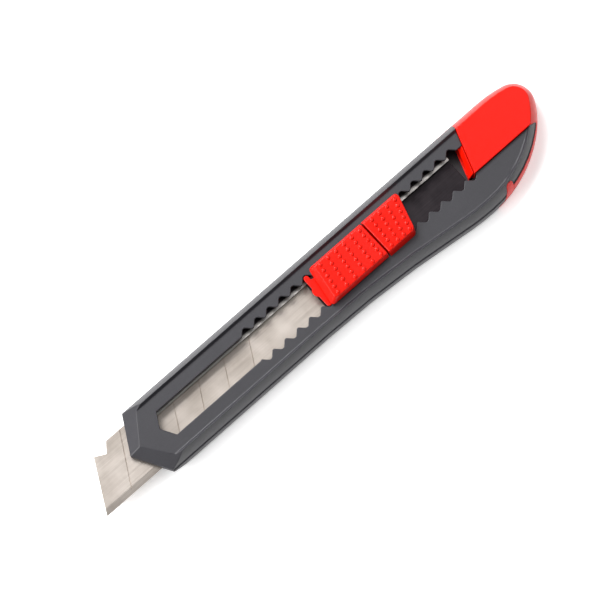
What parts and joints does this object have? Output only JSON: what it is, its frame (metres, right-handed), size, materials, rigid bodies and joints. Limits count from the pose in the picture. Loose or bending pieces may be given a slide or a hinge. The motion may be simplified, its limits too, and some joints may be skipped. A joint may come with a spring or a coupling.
{
  "type": "snap-off knife",
  "caption": "Slim hand-held snap-off knife with a sliding scored blade, a notched slot, a sprung lock pad on its slider and a pull-off end cap.",
  "frame": {"origin": "centre of the handle's length on its centre line, on the flat back", "axes": "+X from the nose to the tail, +Z out of the face that the slider rides on, +Y to the straight side; the cutting edge is on the -Y side"},
  "size_m": [0.1899, 0.0297, 0.0127],
  "materials": {
    "case_plastic": "satin moulded ABS, charcoal grey",
    "red_plastic": "gloss moulded ABS, signal red",
    "black_plastic": "moulded POM, black",
    "blade_steel": "rolled carbon tool steel with a ground edge",
    "rail_steel": "pressed sheet steel, darkened, lips polished by wear",
    "zinc_steel": "zinc-plated steel"
  },
  "bodies": {
    "handle": {"front_shell": "case_plastic", "back_shell": "case_plastic", "case_screws": "zinc_steel", "blade_rail": "rail_steel"},
    "slider": {"blade": "blade_steel", "blade_carrier": "black_plastic", "blade_stud": "zinc_steel", "carrier_rivets": "zinc_steel", "rear_pad": "red_plastic", "lock_spring": "zinc_steel"},
    "lock": {"lock_pad": "red_plastic", "lock_tongue": "red_plastic"},
    "cap": {"end_cap": "red_plastic", "cap_plug": "red_plastic", "cap_catch": "red_plastic"}
  },
  "joints": [
    {"name": "blade_slide", "type": "slide", "parent": "handle", "child": "slider", "axis": [1, 0, 0], "range_m": [-0.0253, 0.0253], "deforming": ["lock_tongue"]},
    {"name": "lock_press", "type": "slide", "parent": "slider", "child": "lock", "axis": [0, 0, -1], "range_m": [0, 0.00095], "stiffness_N_per_m": 1500, "springref_m": -0.0012, "deforming": ["lock_spring"]},
    {"name": "cap_pull", "type": "slide", "parent": "handle", "child": "cap", "axis": [1, 0, 0], "range_m": [0, 0.03], "deforming": ["cap_catch"]}
  ]
}
